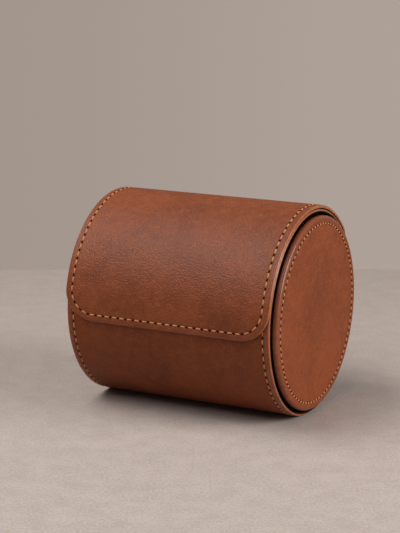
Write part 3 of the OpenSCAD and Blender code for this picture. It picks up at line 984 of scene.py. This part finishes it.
pillow_length = pillow_front - pillow_back
pillow_low = axis_z - trough_seat
pillow_height = pillow_top - pillow_low
pillow_core = 0.3 * pillow_height
pillow_mid = Vector(((pillow_back + pillow_front) / 2, 0, pillow_low + pillow_height / 2))


def in_trough(point, clearance):
    """Keeps a point inside the trough, the two end panels and the pillow's height."""
    reach_here = math.hypot(point.y, point.z - axis_z)
    if reach_here > trough_seat - clearance:
        share = (trough_seat - clearance) / reach_here
        point.y *= share
        point.z = axis_z + (point.z - axis_z) * share
    point.x = min(max(point.x, pillow_back + clearance), pillow_front - clearance)
    point.y = min(max(point.y, -pillow_width / 2), pillow_width / 2)
    point.z = min(point.z, pillow_top)


bpy.ops.object.select_all(action="DESELECT")
bpy.ops.mesh.primitive_cube_add(size=1, enter_editmode=True)
pillow = bpy.context.object
pillow.name = "watch_pillow"
bpy.ops.mesh.subdivide(number_cuts=15)
bpy.ops.object.editmode_toggle()
for vertex in pillow.data.vertices:
    along, across, up = (2 * c for c in vertex.co)
    # A cube's section becomes round, and its ends draw in towards their seams
    flat = max(abs(across), abs(up), 1e-6)
    spin = math.atan2(up, across)
    powers = abs(math.cos(spin)) ** squareness + abs(math.sin(spin)) ** squareness
    bulge = powers ** (-1 / squareness)
    ends = max(0.0, abs(along) - (1 - end_share)) / end_share
    share = flat * bulge * (1 - end_draw * (1 - math.sqrt(max(0.0, 1 - ends * ends))))
    vertex.co = pillow_mid + Vector((
        along * (pillow_length / 2 - pillow_slack),
        share * math.cos(spin) * (pillow_width / 2 - pillow_slack),
        share * math.sin(spin) * (pillow_height / 2 - pillow_slack)))
    in_trough(vertex.co, pillow_slack)

# The cover is blown up like a real one, held at the seams round its two ends
remesh = pillow.modifiers.new("even_mesh", "REMESH")
remesh.mode = "VOXEL"
remesh.voxel_size = mesh_step
bpy.ops.object.modifier_apply(modifier=remesh.name)
held = pillow.vertex_groups.new(name="seams")
for vertex in pillow.data.vertices:
    from_end = pillow_length / 2 - abs(vertex.co.x - pillow_mid.x) - pillow_slack
    outward = math.hypot(vertex.co.y, vertex.co.z - pillow_mid.z)
    near = abs(from_end - seam_in) < held_band and outward > pillow_core
    held.add([vertex.index], 1.0 if near else 0.0, "REPLACE")
before = [vertex.co.copy() for vertex in pillow.data.vertices]
cloth = pillow.modifiers.new("cover", "CLOTH")
cloth.settings.quality = 6
cloth.settings.mass = 0.2
cloth.settings.tension_stiffness = 12
cloth.settings.compression_stiffness = 3
cloth.settings.shear_stiffness = 4
cloth.settings.bending_stiffness = 0.3
cloth.settings.shrink_min = -0.035
cloth.settings.use_pressure = True
cloth.settings.uniform_pressure_force = cover_pressure
cloth.settings.effector_weights.gravity = 0
cloth.settings.vertex_group_mass = held.name
cloth.point_cache.frame_start = 1
cloth.point_cache.frame_end = swell_frames
for moment in range(1, swell_frames + 1):
    bpy.context.scene.frame_set(moment)
bpy.ops.object.modifier_apply(modifier=cloth.name)
bpy.context.scene.frame_set(1)
for vertex, start in zip(pillow.data.vertices, before):
    move = vertex.co - start
    if move.length > swell_most:
        vertex.co = start + move * (swell_most / move.length)
pillow.vertex_groups.clear()
for vertex in pillow.data.vertices:
    in_trough(vertex.co, cover_gap)

# The seams pull in all round, with small puckers running away from them
for vertex in pillow.data.vertices:
    point = vertex.co
    off_seam = pillow_length / 2 - abs(point.x - pillow_mid.x) - seam_in - pillow_slack
    spin = math.atan2(point.z - pillow_mid.z, point.y)
    tight = math.exp(-(off_seam / seam_width) ** 2)
    fading = math.exp(-abs(off_seam) / pucker_reach)
    uneven = pucker_count * spin + 1.7 * math.sin(3 * spin)
    ripple = math.sin(uneven) * math.sin(5 * spin + 0.6)
    outward = Vector((0, point.y, point.z - pillow_mid.z))
    if outward.length > pillow_core:
        depth = seam_depth * tight + pucker_depth * fading * (0.5 + 0.5 * ripple)
        vertex.co = point - outward.normalized() * depth
smoother = pillow.modifiers.new("finer", "SUBSURF")
smoother.levels = smoother.render_levels = 1
bpy.ops.object.modifier_apply(modifier=smoother.name)

suede_cover = suede_finish("pillow_suede", (0.47, 0.385, 0.30), (0.36, 0.28, 0.215))
pillow.data.materials.append(suede_cover)
bpy.ops.object.shade_smooth()
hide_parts("pillow_cover", "pillow_foam")
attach(pillow, "tray")

# A thin cord is sewn into each end seam
for side in (-1, 1):
    bpy.ops.object.select_all(action="DESELECT")
    welt = pillow.copy()
    welt.data = pillow.data.copy()
    bpy.context.scene.collection.objects.link(welt)
    bpy.context.view_layer.objects.active = welt
    welt.select_set(True)
    welt.name = "pillow_welt_left" if side < 0 else "pillow_welt_right"
    bpy.ops.object.editmode_toggle()
    bpy.ops.mesh.select_all(action="SELECT")
    seam_x = pillow_mid.x + side * (pillow_length / 2 - seam_in - pillow_slack)
    bpy.ops.mesh.bisect(plane_co=(seam_x, 0, 0), plane_no=(1, 0, 0),
                        clear_inner=True, clear_outer=True)
    bpy.ops.object.editmode_toggle()
    bpy.ops.object.convert(target="CURVE")
    welt = bpy.context.object
    welt.data.bevel_depth = welt_d / 2
    welt.data.bevel_resolution = 3
    bpy.ops.object.convert(target="MESH")
    welt = bpy.context.object
    for vertex in welt.data.vertices:
        in_trough(vertex.co, cover_gap)
    welt.data.materials.clear()
    welt.data.materials.append(binding)
    bpy.ops.object.shade_smooth()
    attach(welt, "tray")
